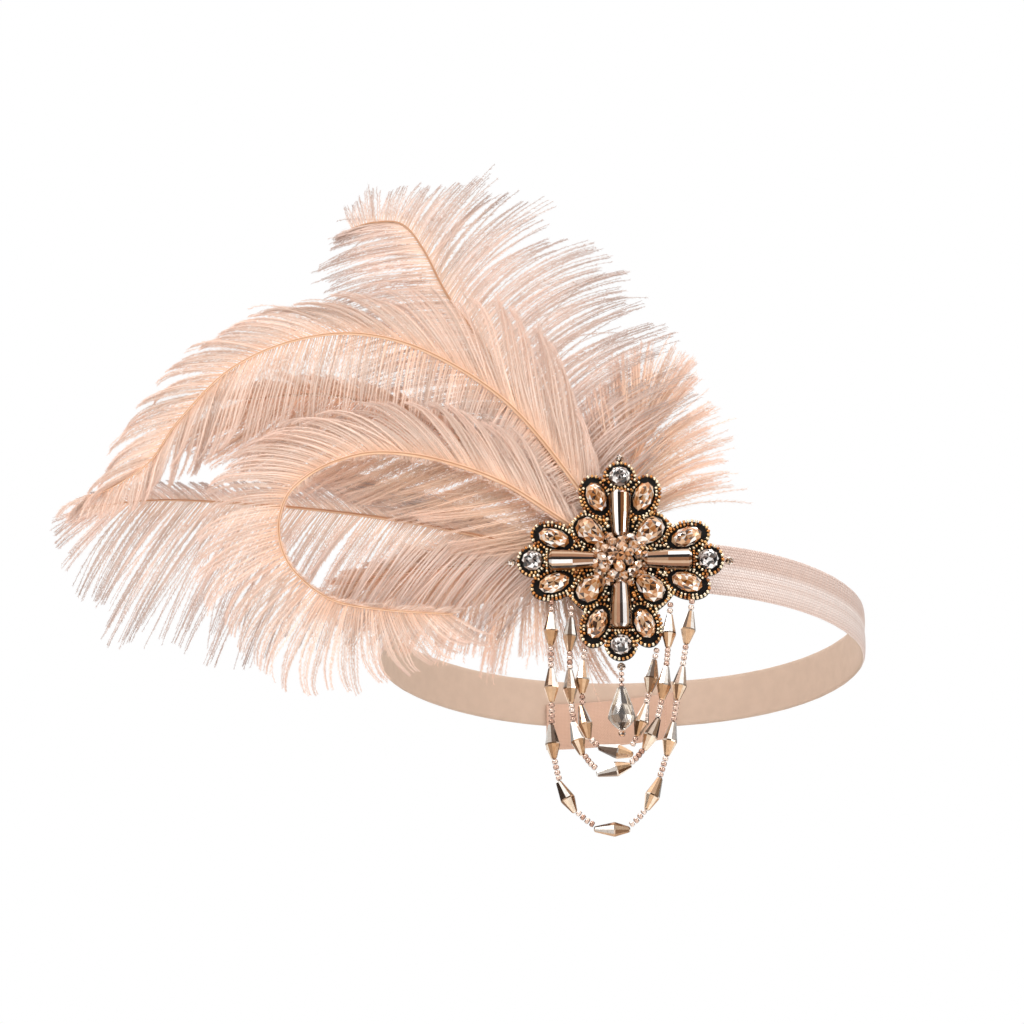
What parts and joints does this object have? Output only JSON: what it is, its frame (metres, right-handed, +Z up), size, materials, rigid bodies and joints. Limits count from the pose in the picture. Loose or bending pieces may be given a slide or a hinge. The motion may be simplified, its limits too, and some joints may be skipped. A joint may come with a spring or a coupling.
{
  "type": "flapper feather headband",
  "caption": "Stretch head loop with a jewelled cross medallion at the front, hanging bead swags, a swinging crystal drop and a fan of ostrich plumes to one side.",
  "frame": {"origin": "centre of the head loop at the band's mid-height, where the head sits", "axes": "+Z up out of the head loop, -Y towards the medallion, +X to the side away from the plumes"},
  "size_m": [0.2656, 0.2007, 0.2323],
  "materials": {
    "satin_band": "blush stretch satin, creased outside, matte inside",
    "satin_join": "deeper pink stretch satin",
    "black_felt": "matte black felt",
    "gold_bead": "gold-lined seed beads, glossy",
    "smoky_crystal": "smoky champagne cut crystal with a mirrored back",
    "champagne_crystal": "champagne cut crystal with a mirrored back",
    "string_bead": "rose-silver lined seed beads and long faceted champagne beads",
    "clear_crystal": "pale champagne faceted crystal",
    "plume": "blush ostrich feather"
  },
  "bodies": {
    "headpiece": {"headband": "satin_band", "back_join": "satin_join", "quill_pad": "black_felt", "felt_backing": "black_felt", "bead_edging": "gold_bead", "baguette_top": "smoky_crystal", "baguette_bottom": "smoky_crystal", "baguette_left": "smoky_crystal", "baguette_right": "smoky_crystal", "chaton_top": "smoky_crystal", "chaton_bottom": "smoky_crystal", "chaton_left": "smoky_crystal", "chaton_right": "smoky_crystal", "tip_bead_top": "smoky_crystal", "tip_bead_bottom": "smoky_crystal", "tip_bead_left": "smoky_crystal", "tip_bead_right": "smoky_crystal", "diagonal_stone_top": "champagne_crystal", "diagonal_stone_bottom": "champagne_crystal", "diagonal_stone_left": "champagne_crystal", "diagonal_stone_right": "champagne_crystal", "lobe_stone_top_a": "champagne_crystal", "lobe_stone_top_b": "champagne_crystal", "lobe_stone_bottom_a": "champagne_crystal", "lobe_stone_bottom_b": "champagne_crystal", "lobe_stone_left_a": "champagne_crystal", "lobe_stone_left_b": "champagne_crystal", "lobe_stone_right_a": "champagne_crystal", "lobe_stone_right_b": "champagne_crystal", "centre_cluster": "champagne_crystal", "swag_outer": "string_bead", "swag_middle": "string_bead", "swag_inner": "string_bead", "plume_lower": "plume", "plume_upper": "plume", "plume_mid": "plume", "plume_top": "plume", "plume_left": "plume", "plume_right": "plume", "plume_fluff": "plume"},
    "drop": {"centre_drop": "clear_crystal"}
  },
  "joints": [
    {"name": "drop_swing", "type": "hinge", "parent": "headpiece", "child": "drop", "pos_m": [0, -0.1007, -0.0393], "axis": [1, 0, 0], "range_deg": [-38, 38]}
  ]
}
